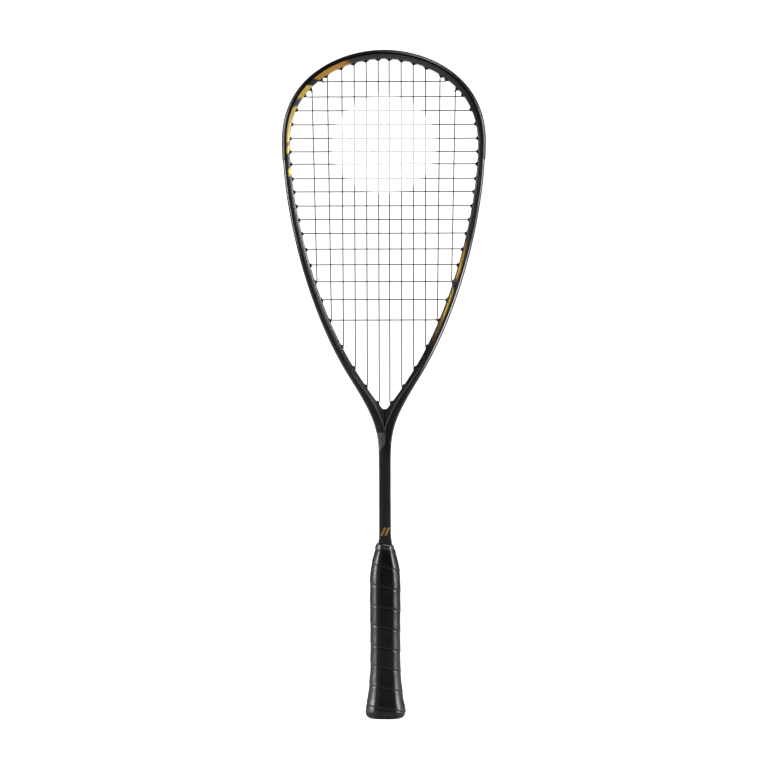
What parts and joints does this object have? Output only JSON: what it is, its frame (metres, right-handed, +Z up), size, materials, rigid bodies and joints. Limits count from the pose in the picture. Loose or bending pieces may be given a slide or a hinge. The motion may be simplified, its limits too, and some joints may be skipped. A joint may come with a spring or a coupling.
{
  "type": "squash racket",
  "caption": "Teardrop squash racket with a hollow moulded frame, woven string bed, head guard, grommet strips and a spiral-wrapped handle.",
  "frame": {"origin": "centre of the flat face at the butt's bottom end", "axes": "+Z up the racket from butt to head, X across the face, Y through its thickness with the front facing -Y"},
  "size_m": [0.209, 0.0368, 0.685],
  "materials": {
    "frame_paint": "satin black painted carbon fibre with gold and grey blocks on the inner facet",
    "guard_nylon": "satin moulded nylon",
    "grommet_nylon": "satin moulded nylon",
    "string": "semi-gloss synthetic string",
    "handle_foam": "moulded rigid foam",
    "butt_cap": "moulded plastic",
    "staple_steel": "plated wire",
    "grip": "soft polyurethane wrap",
    "finishing_tape": "gloss tape"
  },
  "bodies": {
    "root": {"frame": "frame_paint", "head_guard": "guard_nylon", "grommet_strip_left": "grommet_nylon", "grommet_strip_right": "grommet_nylon", "main_string": "string", "cross_string": "string", "handle_foam": "handle_foam", "butt_cap": "butt_cap", "butt_cap_staple_left": "staple_steel", "butt_cap_staple_right": "staple_steel", "grip_tape": "grip", "finishing_tape": "finishing_tape"}
  },
  "joints": []
}
